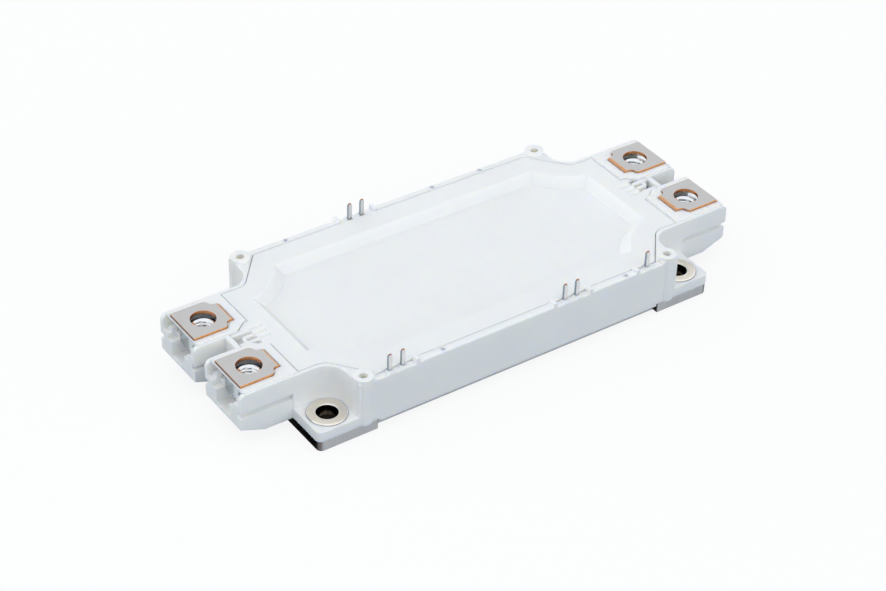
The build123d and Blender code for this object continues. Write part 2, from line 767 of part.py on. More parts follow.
with BuildPart() as bond_wires:
    with GridLocations(chip_pitch, 1, chips_per_tile, 1):
        with GridLocations(wire_pitch, 1, 2, 1):
            add(chip_wire)

# Wires from the feet of the signal pins to the tiles
with BuildPart() as pin_wires:
    for turn, indices in ((0, front_pins), (180, back_pins)):
        for index in indices:
            with Locations(Location((index * pin_pitch, 0, 0), (0, 0, turn))):
                add(pin_wire)

# Copper link from a tile centred on the origin to the next one towards +X
with BuildPart() as tile_link:
    near_x = tile_length / 2 - foil_margin
    far_x = tile_pitch - near_x
    link_middle = foil_top + link_thickness / 2
    with BuildSketch(Plane.XZ):
        with BuildLine():
            Polyline(
                (near_x - link_landing, link_middle), (near_x, link_middle),
                (near_x + link_rise, foil_top + link_rise), (far_x - link_rise, foil_top + link_rise),
                (far_x, link_middle), (far_x + link_landing, link_middle),
            )
        trace(line_width=link_thickness)
    extrude(amount=link_width / 2, both=True)


def hand_in(source, name, spots):
    # Writes one file, with a copy of the source at each spot given as x, y and a turn in degrees.
    with BuildPart() as copies:
        for x, y, turn in spots:
            with Locations(Location((x, y, 0), (0, 0, turn))):
                add(source.part)
    copies.part.label = name
    export_step(copies.part, f"parts/{name}.step")


for source, name in ((baseplate, "baseplate"), (housing_frame, "housing_frame"), (lid, "lid")):
    hand_in(source, name, [(0, 0, 0)])
corner_signs = ((-1, -1), (-1, 1), (1, -1), (1, 1))
for number, (along, across) in enumerate(corner_signs, start=1):
    sleeve_spot = (along * mount_x, across * mount_y, 0)
    terminal_spot = (0, across * block_centre_y, 0 if along > 0 else 180)
    hand_in(mounting_sleeve, f"mounting_sleeve_{number}", [sleeve_spot])
    hand_in(power_terminal, f"power_terminal_{number}", [terminal_spot])
    hand_in(terminal_nut, f"terminal_nut_{number}", [terminal_spot])
pin_spots = [(index * pin_pitch, 0, 0) for index in front_pins]
pin_spots += [(index * pin_pitch, 0, 180) for index in back_pins]
for number, spot in enumerate(pin_spots, start=1):
    hand_in(signal_pin, f"signal_pin_{number}", [spot])
for number, centre in enumerate(tile_centres, start=1):
    foil = sensor_foil if centre == sensor_tile_x else plain_foil
    hand_in(lower_foil, f"lower_foil_{number}", [(centre, 0, 0)])
    hand_in(ceramic_tile, f"ceramic_tile_{number}", [(centre, 0, 0)])
    hand_in(foil, f"upper_foil_{number}", [(centre, 0, 0)])
    hand_in(diode_chips, f"diode_chips_{number}", [(centre, 0, 0)])
    hand_in(bond_wires, f"bond_wires_{number}", [(centre, 0, 0)])
link_spots = [(centre, across * link_y, 0) for centre in tile_centres[:-1] for across in (-1, 1)]
for number, spot in enumerate(link_spots, start=1):
    hand_in(tile_link, f"tile_link_{number}", [spot])
hand_in(pin_wires, "pin_wires", [(0, 0, 0)])
hand_in(temperature_sensor, "temperature_sensor", [(0, 0, 0)])
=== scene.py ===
import math

import bmesh
import bpy
from mathutils import Matrix, Vector


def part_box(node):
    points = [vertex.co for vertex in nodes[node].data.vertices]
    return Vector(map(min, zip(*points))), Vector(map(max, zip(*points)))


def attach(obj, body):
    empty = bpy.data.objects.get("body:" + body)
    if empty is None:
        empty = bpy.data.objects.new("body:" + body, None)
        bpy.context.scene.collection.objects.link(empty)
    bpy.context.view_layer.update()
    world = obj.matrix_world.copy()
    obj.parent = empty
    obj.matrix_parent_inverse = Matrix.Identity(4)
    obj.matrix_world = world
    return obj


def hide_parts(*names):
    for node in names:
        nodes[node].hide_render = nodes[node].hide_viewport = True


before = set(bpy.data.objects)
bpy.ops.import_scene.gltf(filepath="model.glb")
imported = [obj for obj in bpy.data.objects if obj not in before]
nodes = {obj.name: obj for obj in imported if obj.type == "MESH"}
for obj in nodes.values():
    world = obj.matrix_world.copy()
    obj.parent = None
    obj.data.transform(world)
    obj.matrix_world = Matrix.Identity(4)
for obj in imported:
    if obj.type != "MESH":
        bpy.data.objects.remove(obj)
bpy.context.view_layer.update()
scene = bpy.context.scene
scene.view_settings.view_transform = "Standard"

MM = 0.001


# Camera: solved on the holes, pins and edges of the photograph.
def place_camera():
    azimuth, elevation, roll = (math.radians(a) for a in (-36.102, 36.623, 2.237))
    distance = 0.589232
    focal_pixels, photo_width = 2272.79, 886
    target = Vector((-0.005627, -0.003244, 0.008))
    back = Vector((
        math.sin(azimuth) * math.cos(elevation),
        -math.cos(azimuth) * math.cos(elevation),
        math.sin(elevation),
    ))
    right = Vector((math.cos(azimuth), math.sin(azimuth), 0))
    up = back.cross(right)
    across = right * math.cos(roll) + up * math.sin(roll)
    above = up * math.cos(roll) - right * math.sin(roll)
    data = bpy.data.cameras.new("camera")
    camera = bpy.data.objects.new("camera", data)
    scene.collection.objects.link(camera)
    turn = Matrix((across, above, back)).transposed().to_4x4()
    camera.matrix_world = Matrix.Translation(target + back * distance) @ turn
    data.sensor_width = 36
    data.lens = data.sensor_width * focal_pixels / photo_width
    data.clip_start = 0.01
    data.clip_end = 20
    scene.camera = camera


# Node helpers
class Finish:
    """A material made of nodes, with object coordinates in millimetres."""

    def __init__(self, name):
        self.material = bpy.data.materials.new(name)
        self.material.use_nodes = True
        self.tree = self.material.node_tree
        self.shader = self.tree.nodes["Principled BSDF"]
        where = self.add("ShaderNodeTexCoord")
        scaled = self.add("ShaderNodeVectorMath", {0: where.outputs["Object"]}, operation="SCALE")
        scaled.inputs["Scale"].default_value = 1000
        self.mm = scaled.outputs[0]
        split = self.add("ShaderNodeSeparateXYZ", {0: self.mm})
        self.x, self.y, self.z = split.outputs
        self.geometry = self.add("ShaderNodeNewGeometry")

    def add(self, kind, sockets=None, **settings):
        node = self.tree.nodes.new(kind)
        for key, value in settings.items():
            setattr(node, key, value)
        for key, value in (sockets or {}).items():
            if isinstance(value, bpy.types.NodeSocket):
                self.tree.links.new(value, node.inputs[key])
            else:
                node.inputs[key].default_value = value
        return node

    def math(self, operation, a, b=0.0, clamp=False):
        return self.add("ShaderNodeMath", {0: a, 1: b}, operation=operation, use_clamp=clamp).outputs[0]

    def noise(self, scale, detail=2.0, roughness=0.5, at=None):
        made = self.add("ShaderNodeTexNoise", {
            "Vector": at or self.mm, "Scale": scale, "Detail": detail, "Roughness": roughness,
        })
        return made.outputs["Fac"]

    def spread(self, value, low, high, to_low=0.0, to_high=1.0):
        made = self.add("ShaderNodeMapRange", {
            "Value": value, "From Min": low, "From Max": high, "To Min": to_low, "To Max": to_high,
        })
        return made.outputs["Result"]

    def blend(self, share, first, second):
        made = self.add("ShaderNodeMix", data_type="RGBA")
        for socket, value in ((0, share), (6, first), (7, second)):
            if isinstance(value, bpy.types.NodeSocket):
                self.tree.links.new(value, made.inputs[socket])
            else:
                made.inputs[socket].default_value = value if socket == 0 else (*value, 1.0)
        return made.outputs[2]

    def stretch(self, x, y, z):
        return self.add("ShaderNodeVectorMath", {0: self.mm, 1: (x, y, z)}, operation="MULTIPLY").outputs[0]

    def axis_distance(self, x, y):
        """Distance in millimetres from the nearest of the four upright axes at plus and minus x and y."""
        across = self.math("SUBTRACT", self.math("ABSOLUTE", self.x), x)
        along = self.math("SUBTRACT", self.math("ABSOLUTE", self.y), y)
        squares = self.math("ADD", self.math("MULTIPLY", across, across), self.math("MULTIPLY", along, along))
        return self.math("SQRT", squares)

    def choose(self, share, first, second):
        """The first number where the share is 0, the second where it is 1."""
        made = self.add("ShaderNodeMix", {0: share, 2: first, 3: second}, data_type="FLOAT")
        return made.outputs[0]

    def normals(self):
        return self.add("ShaderNodeSeparateXYZ", {0: self.geometry.outputs["True Normal"]}).outputs

    def edges(self, radius, low=0.02, high=0.25):
        """1 along the edges within the radius in millimetres, 0 on the flats."""
        bevel = self.add("ShaderNodeBevel", {"Radius": radius * MM}, samples=4)
        turn = self.add("ShaderNodeVectorMath", {
            0: bevel.outputs[0], 1: self.geometry.outputs["Normal"],
        }, operation="DOT_PRODUCT")
        return self.spread(self.math("SUBTRACT", 1.0, turn.outputs["Value"]), low, high)

    def bump(self, height, depth, under=None):
        """Relief of the given depth in millimetres."""
        made = self.add("ShaderNodeBump", {"Height": height, "Distance": depth * MM})
        if under is not None:
            self.tree.links.new(under, made.inputs["Normal"])
        return made.outputs["Normal"]

    def wire(self, **sockets):
        for key, value in sockets.items():
            socket = self.shader.inputs[key.replace("_", " ")]
            if isinstance(value, bpy.types.NodeSocket):
                self.tree.links.new(value, socket)
            elif isinstance(value, tuple) and len(value) == 3 and socket.type == "RGBA":
                socket.default_value = (*value, 1.0)
            else:
                socket.default_value = value
        return self.material


# Places that the materials refer to, in millimetres: X and Y of the axes, and heights.
MOUNT_AXIS = (55.0, 25.0)
BOSS_AXIS = (47.24, 29.04)
TERMINAL_AXIS = (68.5, 11.0)
RIM_TOP = 16.0
PIN_TIP = 20.52
FLANGE_EDGE = 5.94
SENSOR_X = -11.43
SENSOR_BODY_HALF = 1.1


def moulded_plastic(name, tone):
    f = Finish(name)
    cloud = f.noise(0.045, 3.0, 0.55)
    speck = f.noise(2.2, 2.0)
    pale = tuple(min(c * 1.015, 1) for c in tone)
    dull = tuple(c * 0.975 for c in tone)
    colour = f.blend(f.spread(cloud, 0.3, 0.7), dull, pale)
    specks = f.math("MULTIPLY", f.spread(speck, 0.62, 0.8), 0.06)
    colour = f.blend(specks, colour, tuple(c * 0.9 for c in tone))
    # Painted highlight: the edges are painted lighter than the flats.
    painted_edge_highlight = f.math("MULTIPLY", f.edges(0.25), 0.35)
    colour = f.blend(painted_edge_highlight, colour, (0.99, 0.985, 0.97))
    # Painted shade: the top of the nut pockets is painted nearly black.
    in_pocket = f.math("LESS_THAN", f.z, RIM_TOP - 0.02)
    in_pocket = f.math("MULTIPLY", in_pocket, f.math("GREATER_THAN", f.z, RIM_TOP - 2.0))
    by_nut = f.spread(f.axis_distance(*TERMINAL_AXIS), 4.6, 5.2, 1.0, 0.0)
    colour = f.blend(f.math("MULTIPLY", in_pocket, by_nut), colour, (0.05, 0.045, 0.04))
    # Painted light: the holes in the bosses are painted a pale cream, lighter than the plastic.
    in_hole = f.math("LESS_THAN", f.axis_distance(*BOSS_AXIS), 1.2)
    in_hole = f.math("MULTIPLY", in_hole, f.math("LESS_THAN", f.z, RIM_TOP - 0.1))
    colour = f.blend(in_hole, colour, (0.99, 0.96, 0.86))
    rough = f.spread(f.noise(0.6, 3.0), 0.3, 0.7, 0.40, 0.50)
    grain = f.bump(f.noise(7.0, 3.0, 0.6), 0.010)
    flow = f.bump(f.noise(0.12, 2.0), 0.08, under=grain)
    return f.wire(
        Base_Color=colour, Roughness=rough, Normal=flow, Metallic=0.0, IOR=1.48,
        Subsurface_Weight=0.85, Subsurface_Scale=0.0010, Subsurface_Radius=(1.0, 0.88, 0.65),
    )


def plated_terminal():
    f = Finish("terminal_metal")
    nx, _, nz = f.normals()
    face = f.math("GREATER_THAN", nz, 0.98)
    edge = f.edges(0.14, 0.05, 0.4)
    under = f.math("LESS_THAN", nz, -0.9)
    bare = f.math("SUBTRACT", 1.0, face)
    scuff = f.math("MULTIPLY", edge, f.spread(f.noise(3.0, 2.0), 0.4, 0.7))
    bare = f.math("MAXIMUM", bare, f.math("MULTIPLY", scuff, 0.8), clamp=True)
    dull = f.noise(0.5, 4.0, 0.6)
    tin = f.blend(f.spread(dull, 0.3, 0.7), (0.545, 0.545, 0.55), (0.585, 0.585, 0.59))
    drawn = f.noise(1.0, 3.0, 0.6, at=f.stretch(0.3, 9.0, 9.0))
    tin = f.blend(f.math("MULTIPLY", f.spread(drawn, 0.35, 0.65), 0.12), tin, (0.49, 0.49, 0.49))
    sheared = f.noise(1.0, 3.0, 0.6, at=f.stretch(6.0, 6.0, 0.8))
    # Bare copper in two tones by side: faces along y are painted a lit orange, faces along x a shaded brown.
    cut = f.blend(f.spread(sheared, 0.3, 0.7), (0.80, 0.36, 0.12), (0.98, 0.55, 0.24))
    shaded_bent_copper = f.blend(f.spread(sheared, 0.3, 0.7), (0.34, 0.20, 0.14), (0.48, 0.32, 0.24))
    copper = f.blend(f.math("ABSOLUTE", nx), cut, shaded_bent_copper)
    radius = f.axis_distance(*TERMINAL_AXIS)
    punched = f.math("LESS_THAN", radius, 3.5)
    copper = f.blend(punched, copper, (0.78, 0.36, 0.16))
    colour = f.blend(bare, tin, copper)
    # Underside: painted shade, nearly black, over the nut; elsewhere a tin paler than the top, a painted
    # light.
    over_nut = f.spread(radius, 5.2, 5.8, 1.0, 0.0)
    colour = f.blend(f.math("MULTIPLY", under, over_nut), colour, (0.05, 0.035, 0.03))
    beside = f.math("MULTIPLY", under, f.math("SUBTRACT", 1.0, over_nut))
    colour = f.blend(beside, colour, (0.75, 0.75, 0.76))
    rough = f.choose(bare, f.spread(dull, 0.3, 0.7, 0.36, 0.44), f.spread(sheared, 0.3, 0.7, 0.20, 0.32))
    lines = f.bump(sheared, 0.004, under=f.bump(drawn, 0.003))
    return f.wire(Base_Color=colour, Roughness=rough, Normal=lines, Metallic=1.0)


def zinc_steel():
    f = Finish("nut_steel")
    nz = f.math("ABSOLUTE", f.normals()[2])
    bloom = f.noise(0.5, 3.0, 0.5)
    # Painted light and shade: faces turned up or down are painted much lighter than the upright sides of the
    # same steel.
    side = f.blend(f.spread(bloom, 0.3, 0.7), (0.46, 0.51, 0.55), (0.54, 0.59, 0.62))
    top = f.blend(f.spread(bloom, 0.3, 0.7), (0.78, 0.85, 0.92), (0.90, 0.94, 0.97))
    colour = f.blend(f.spread(nz, 0.05, 0.45), side, top)
    rough = f.spread(bloom, 0.3, 0.7, 0.10, 0.16)
    return f.wire(Base_Color=colour, Roughness=rough, Normal=f.bump(f.noise(3.0, 2.0), 0.001), Metallic=1.0)


def turned_nickel():
    f = Finish("sleeve_metal")
    radius = f.axis_distance(*MOUNT_AXIS)
    ring = f.add("ShaderNodeCombineXYZ", {0: radius, 2: f.math("MULTIPLY", f.z, 0.6)}).outputs[0]
    turned = f.noise(9.0, 3.0, 0.6, at=ring)
    bloom = f.noise(0.8, 3.0)
    flat = f.blend(f.spread(bloom, 0.3, 0.7), (0.85, 0.795, 0.71), (0.90, 0.845, 0.76))
    flat = f.blend(f.math("MULTIPLY", f.spread(turned, 0.4, 0.7), 0.10), flat, (0.58, 0.54, 0.48))
    # Polished edges, with a thin dark line painted where the ring meets the flange, a painted dark
    # reflection.
    polished = f.blend(f.spread(bloom, 0.3, 0.7), (0.88, 0.86, 0.81), (0.95, 0.93, 0.89))
    polished = f.blend(f.spread(f.z, FLANGE_EDGE, FLANGE_EDGE + 0.08), (0.24, 0.20, 0.14), polished)
    top = f.math("GREATER_THAN", f.normals()[2], 0.97)
    colour = f.blend(top, polished, flat)
    # Painted shade: the bore is painted nearly black, with faint lighter streaks down it as painted
    # reflections.
    streak = f.noise(1.0, 2.0, 0.5, at=f.stretch(1.4, 1.4, 0.05))
    bore_shade = f.blend(f.spread(streak, 0.40, 0.62), (0.008, 0.006, 0.005), (0.07, 0.055, 0.04))
    inside = f.math("LESS_THAN", radius, 2.76)
    colour = f.blend(inside, colour, bore_shade)
    rough = f.choose(top, f.spread(bloom, 0.3, 0.7, 0.10, 0.16), f.spread(bloom, 0.3, 0.7, 0.44, 0.52))
    return f.wire(Base_Color=colour, Roughness=rough, Normal=f.bump(turned, 0.002), Metallic=1.0)


def plated_base():
    f = Finish("plate_metal")
    nx, ny, nz = f.normals()
    side = f.math("LESS_THAN", f.math("ABSOLUTE", nz), 0.5)
    sheared = f.noise(1.0, 4.0, 0.6, at=f.stretch(5.0, 5.0, 0.25))
    ground = f.noise(1.0, 4.0, 0.6, at=f.stretch(0.25, 7.0, 1.0))
    bloom = f.noise(0.25, 3.0, 0.5)
    face = f.blend(f.spread(bloom, 0.3, 0.7), (0.50, 0.49, 0.48), (0.58, 0.57, 0.56))
    # Painted shade: the ends facing along x are painted nearly black, darker than the grey sides facing along
    # y.
    front = f.blend(f.spread(bloom, 0.3, 0.7), (0.40, 0.42, 0.45), (0.46, 0.48, 0.50))
    end = f.blend(f.spread(bloom, 0.3, 0.7), (0.015, 0.015, 0.015), (0.04, 0.04, 0.04))
    turn = f.spread(f.math("ABSOLUTE", nx), 0.15, 0.97)
    cut = f.blend(turn, front, end)
    corner = f.math("MULTIPLY", f.math("ABSOLUTE", f.math("MULTIPLY", nx, ny)), 2.0)
    streaks = f.math("MULTIPLY", f.spread(sheared, 0.42, 0.60), f.math("ADD", 0.14, corner), clamp=True)
    cut = f.blend(streaks, cut, (0.16, 0.14, 0.13))
    colour = f.blend(side, face, cut)
    # Painted shade: the wall of the mounting hole is painted nearly black.
    bore = f.spread(f.axis_distance(*MOUNT_AXIS), 2.9, 3.1, 1.0, 0.0)
    colour = f.blend(bore, colour, (0.02, 0.017, 0.014))
    rough = f.spread(bloom, 0.3, 0.7, 0.34, 0.46)
    relief = f.bump(f.math("MULTIPLY", sheared, side), 0.012)
    relief = f.bump(ground, 0.005, under=relief)
    return f.wire(Base_Color=colour, Specular_Tint=colour, Roughness=rough, Normal=relief, Metallic=1.0)


def tinned_pin():
    f = Finish("pin_metal")
    nx = f.normals()[0]
    ragged = f.math("MULTIPLY", f.noise(3.0, 2.0), 0.25)
    tip = f.spread(f.math("ADD", f.z, ragged), PIN_TIP, PIN_TIP + 0.10)
    drawn = f.noise(1.0, 3.0, at=f.stretch(6.0, 6.0, 0.4))
    bright = f.blend(f.spread(drawn, 0.35, 0.65), (0.64, 0.65, 0.66), (0.74, 0.75, 0.76))
    shaded = f.blend(f.spread(drawn, 0.35, 0.65), (0.22, 0.27, 0.32), (0.34, 0.40, 0.46))
    tin = f.blend(f.spread(f.math("ABSOLUTE", nx), 0.4, 0.8), bright, shaded)
    copper = f.blend(f.spread(f.noise(4.0, 2.0), 0.3, 0.7), (0.34, 0.14, 0.08), (0.52, 0.25, 0.16))
    colour = f.blend(tip, tin, copper)
    rough = f.spread(drawn, 0.3, 0.7, 0.22, 0.32)
    return f.wire(Base_Color=colour, Roughness=rough, Normal=f.bump(drawn, 0.003), Metallic=1.0)


def bare_copper():
    f = Finish("foil_metal")
    stain = f.noise(0.5, 4.0, 0.6)
    colour = f.blend(f.spread(stain, 0.3, 0.7), (0.66, 0.33, 0.19), (0.84, 0.50, 0.34))
    rough = f.spread(stain, 0.3, 0.7, 0.30, 0.45)
    etched = f.noise(3.0, 3.0)
    return f.wire(Base_Color=colour, Roughness=rough, Normal=f.bump(etched, 0.01), Metallic=1.0)


def white_ceramic():
    f = Finish("tile_ceramic")
    speck = f.noise(3.0, 4.0, 0.6)
    colour = f.blend(f.spread(speck, 0.35, 0.7), (0.80, 0.79, 0.75), (0.88, 0.87, 0.84))
    rough = f.spread(speck, 0.3, 0.7, 0.5, 0.62)
    return f.wire(Base_Color=colour, Roughness=rough, Normal=f.bump(speck, 0.01), Metallic=0.0)


def polished_chip():
    f = Finish("chip_material")
    film = f.noise(0.7, 2.0)
    colour = f.blend(f.spread(film, 0.3, 0.7), (0.10, 0.12, 0.16), (0.20, 0.22, 0.27))
    rough = f.spread(film, 0.3, 0.7, 0.08, 0.16)
    return f.wire(Base_Color=colour, Roughness=rough, Normal=f.bump(film, 0.002), Metallic=0.0)


def drawn_wire():
    f = Finish("wire_metal")
    drawn = f.noise(4.0, 3.0)
    colour = f.blend(f.spread(drawn, 0.3, 0.7), (0.72, 0.72, 0.73), (0.84, 0.84, 0.84))
    rough = f.spread(drawn, 0.3, 0.7, 0.28, 0.38)
    return f.wire(Base_Color=colour, Roughness=rough, Normal=f.bump(drawn, 0.004), Metallic=1.0)


def dark_ceramic():
    f = Finish("sensor_body")
    ends = f.math("GREATER_THAN", f.math("ABSOLUTE", f.math("SUBTRACT", f.x, SENSOR_X)), SENSOR_BODY_HALF)
    speck = f.noise(5.0, 3.0)
    body = f.blend(f.spread(speck, 0.3, 0.7), (0.10, 0.09, 0.085), (0.17, 0.16, 0.15))
    colour = f.blend(ends, body, (0.66, 0.66, 0.67))
    rough = f.spread(speck, 0.3, 0.7, 0.35, 0.5)
    f.tree.links.new(ends, f.shader.inputs["Metallic"])
    return f.wire(Base_Color=colour, Roughness=rough, Normal=f.bump(speck, 0.008))


# Modifiers
def smoothing(angle):
    """Geometry nodes that shade every face smooth but keep edges over the angle sharp."""
    group = bpy.data.node_groups.new(f"smooth_{angle}", "GeometryNodeTree")
    group.interface.new_socket("Geometry", in_out="INPUT", socket_type="NodeSocketGeometry")
    group.interface.new_socket("Geometry", in_out="OUTPUT", socket_type="NodeSocketGeometry")
    start, end = group.nodes.new("NodeGroupInput"), group.nodes.new("NodeGroupOutput")
    faces = group.nodes.new("GeometryNodeSetShadeSmooth")
    faces.domain = "FACE"
    sharp = group.nodes.new("GeometryNodeSetShadeSmooth")
    sharp.domain = "EDGE"
    sharp.inputs["Shade Smooth"].default_value = False
    turn = group.nodes.new("GeometryNodeInputMeshEdgeAngle")
    over = group.nodes.new("FunctionNodeCompare")
    over.data_type = "FLOAT"
    over.operation = "GREATER_THAN"
    over.inputs[1].default_value = math.radians(angle)
    link = group.links.new
    link(start.outputs[0], faces.inputs["Geometry"])
    link(faces.outputs[0], sharp.inputs["Geometry"])
    link(turn.outputs["Unsigned Angle"], over.inputs[0])
    link(over.outputs[0], sharp.inputs["Selection"])
    link(sharp.outputs[0], end.inputs[0])
    return group


smooth_40 = smoothing(40)
BEVEL_SEGMENTS = 3
BEVEL_ANGLE = 35


def dress(name, material, edge):
    """Gives a CAD node its finish, and rounds its sharp edges by the given millimetres."""
    node = nodes[name]
    node.data.materials.clear()
    node.data.materials.append(material)
    weld = node.modifiers.new("weld", "WELD")
    weld.merge_threshold = 2e-6
    flat = node.modifiers.new("flat", "DECIMATE")
    flat.decimate_type = "DISSOLVE"
    flat.angle_limit = math.radians(0.5)
    if edge:
        bevel = node.modifiers.new("bevel", "BEVEL")
        bevel.width = edge * MM
        bevel.segments = BEVEL_SEGMENTS
        bevel.limit_method = "ANGLE"
        bevel.angle_limit = math.radians(BEVEL_ANGLE)
        bevel.use_clamp_overlap = True
        bevel.miter_outer = "MITER_ARC"
    node.modifiers.new("smooth", "NODES").node_group = smooth_40
    even = node.modifiers.new("even", "WEIGHTED_NORMAL")
    even.keep_sharp = True


def piece(name, mesh, material):
    made = bpy.data.objects.new(name, mesh)
    scene.collection.objects.link(made)
    mesh.materials.append(material)
    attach(made, "root")
    return made


# Turned pieces
ROUND_COLUMNS = 96


def round_points(bm, centre, radius, height):
    """A ring of points; the radius in millimetres is a function of the angle."""
    made = []
    for i in range(ROUND_COLUMNS):
        angle = 2 * math.pi * i / ROUND_COLUMNS
        r = radius(angle)
        x, y = centre[0] + r * math.cos(angle), centre[1] + r * math.sin(angle)
        made.append(bm.verts.new((x * MM, y * MM, height * MM)))
    return made


def band(bm, first, second, flip=False):
    """The faces between two rings of points."""
    for i in range(ROUND_COLUMNS):
        j = (i + 1) % ROUND_COLUMNS
        face = (first[i], first[j], second[j], second[i])
        bm.faces.new(face[::-1] if flip else face)


def finish_mesh(bm, name):
    mesh = bpy.data.meshes.new(name)
    bm.to_mesh(mesh)
    bm.free()
    return mesh


def centre_of(low, high):
    return (low.x + high.x) / 2 / MM, (low.y + high.y) / 2 / MM


def nut_mesh(name, centre, low, high, across_flats=10.0, pitch=1.0):
    """A hexagon nut with chamfered corners, a thread and a sink at both ends of its bore."""
    bore_r, root_r, sink_r = 2.5, 3.02, 3.1
    step = 0.1
    steps = round((high - low) / step)
    bm = bmesh.new()

    def outer(angle, z):
        sixth = math.pi / 3
        off = (angle + sixth / 2) % sixth - sixth / 2
        flat = across_flats / 2 / math.cos(off)
        rise = min(z - low, high - z)
        return min(flat, across_flats / 2 - 0.25 + rise / math.tan(math.radians(30)))

    def inner(angle, z):
        turn = ((z - low) / pitch - angle / (2 * math.pi)) % 1
        tooth = abs(2 * turn - 1)
        thread = bore_r + (root_r - bore_r) * min(max((tooth - 0.12) / 0.76, 0), 1)
        return max(thread, sink_r - min(z - low, high - z))

    heights = [low + (high - low) * i / steps for i in range(steps + 1)]
    levels = [low + step * i for i in range(7)] + [high - step * i for i in range(6, -1, -1)]
    inside = [round_points(bm, centre, lambda angle: inner(angle, z), z) for z in heights]
    outside = [round_points(bm, centre, lambda angle: outer(angle, z), z) for z in levels]
    for below, above in zip(inside, inside[1:]):
        band(bm, below, above, flip=True)
    for below, above in zip(outside, outside[1:]):
        band(bm, below, above)
    band(bm, inside[0], outside[0])
    band(bm, inside[-1], outside[-1], flip=True)
    bmesh.ops.recalc_face_normals(bm, faces=bm.faces)
    return finish_mesh(bm, name)


def ring_mesh(name, centre, outer, low, high, bore=2.75, bore_round=0.34, edge_round=0.5, foot=0.1):
    """A turned ring: its section, a list of (radius, height) in millimetres, goes round the axis."""
    steps = 6
    quarter = [math.pi / 2 * i / steps for i in range(steps + 1)]
    section = [(bore, low)]
    for a in quarter:
        section.append((bore + bore_round * (1 - math.cos(a)), high - bore_round * (1 - math.sin(a))))
    for a in quarter:
        section.append((outer - edge_round * (1 - math.sin(a)), high - edge_round * (1 - math.cos(a))))
    section += [(outer, low + foot), (outer - foot, low)]
    bm = bmesh.new()
    rings = [round_points(bm, centre, lambda angle: radius, height) for radius, height in section]
    for first, second in zip(rings, rings[1:] + rings[:1]):
        band(bm, second, first)
    bmesh.ops.recalc_face_normals(bm, faces=bm.faces)
    return finish_mesh(bm, name)


def add_nut(number, material):
    """Puts a nut with its thread in the place of the CAD node."""
    node = f"terminal_nut_{number}"
    low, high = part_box(node)
    mesh = nut_mesh(node, centre_of(low, high), low.z / MM, high.z / MM)
    nut = piece(f"threaded_nut_{number}", mesh, material)
    nut.modifiers.new("smooth", "NODES").node_group = smooth_40
    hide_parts(node)


def add_sleeve(number, material):
    """Puts a finely turned ring in the place of the CAD node."""
    node = f"mounting_sleeve_{number}"
    low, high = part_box(node)
    outer = (high.x - low.x) / 2 / MM
    mesh = ring_mesh(node, centre_of(low, high), outer, low.z / MM, high.z / MM)
    ring = piece(f"turned_sleeve_{number}", mesh, material)
    ring.modifiers.new("smooth", "NODES").node_group = smooth_40
    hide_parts(node)


# Shallow round marks that the ejectors of the mould leave on the rim.
def ejector_marks(material):
    radius, height, edge = 0.55 * MM, 0.03 * MM, 0.02 * MM
    spots = [(-24.5, -30.0), (32.8, -30.1), (-33.0, 30.0), (13.5, 30.0), (29.3, 30.0)]
    bm = bmesh.new()
    for x, y in spots:
        made = bmesh.ops.create_cone(
            bm, cap_ends=True, segments=40, radius1=radius, radius2=radius - edge,
            depth=2 * height, matrix=Matrix.Translation((x * MM, y * MM, RIM_TOP * MM)),
        )
        top = [
            e for e in bm.edges
            if e.verts[0] in made["verts"] and all(v.co.z > RIM_TOP * MM for v in e.verts)
        ]
        bmesh.ops.bevel(bm, geom=top, offset=edge, segments=2, affect="EDGES")
    marks = piece("ejector_marks", finish_mesh(bm, "ejector_marks"), material)
    marks.modifiers.new("smooth", "NODES").node_group = smooth_40


# Lights and floor
def soft_box(name, at, size, power, colour):
    """A square lamp that points at the origin and doesn't show in gloss."""
    data = bpy.data.lights.new(name, "AREA")
    data.shape = "SQUARE"
    data.size = size
    data.energy = power
    data.color = colour
    lamp = bpy.data.objects.new(name, data)
    lamp.visible_glossy = False
    lamp.location = at
    lamp.rotation_mode = "QUATERNION"
    lamp.rotation_quaternion = (-Vector(at)).to_track_quat("-Z", "Y")
    scene.collection.objects.link(lamp)


def background_ray(tree):
    """1 for the rays that show the background: camera, glossy and transmission rays."""
    path = tree.nodes.new("ShaderNodeLightPath")
    total = path.outputs["Is Camera Ray"]
    for ray in ("Is Glossy Ray", "Is Transmission Ray"):
        both = tree.nodes.new("ShaderNodeMath")
        both.operation = "MAXIMUM"
        tree.links.new(total, both.inputs[0])
        tree.links.new(path.outputs[ray], both.inputs[1])
        total = both.outputs[0]
    return total


